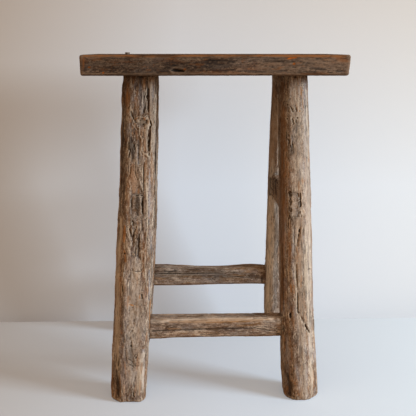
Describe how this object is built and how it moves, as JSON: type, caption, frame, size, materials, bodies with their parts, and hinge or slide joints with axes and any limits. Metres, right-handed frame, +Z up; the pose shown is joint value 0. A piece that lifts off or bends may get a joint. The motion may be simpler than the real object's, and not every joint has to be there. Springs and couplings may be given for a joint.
{
  "type": "rustic stool",
  "caption": "Rustic slab-seat stool: a thick worn plank on hewn splayed legs, tied by low and high stretchers with wedged through tenons.",
  "frame": {"origin": "on the floor, under the middle of the seat", "axes": "+Z up, +X to the right along the seat's length, front towards -Y"},
  "size_m": [0.3856, 0.3252, 0.504],
  "materials": {
    "seat_wood": "worn, dry",
    "leg_wood": "worn, dry",
    "stretcher_wood": "worn, dry",
    "wedge_wood": "worn, dry"
  },
  "bodies": {
    "root": {"seat": "seat_wood", "leg_front_left": "leg_wood", "leg_front_right": "leg_wood", "leg_rear_left": "leg_wood", "leg_rear_right": "leg_wood", "stretcher_front": "stretcher_wood", "stretcher_rear": "stretcher_wood", "stretcher_left": "stretcher_wood", "stretcher_right": "stretcher_wood", "wedge_front_left": "wedge_wood", "wedge_front_right": "wedge_wood", "wedge_rear_left": "wedge_wood", "wedge_rear_right": "wedge_wood"}
  },
  "joints": []
}
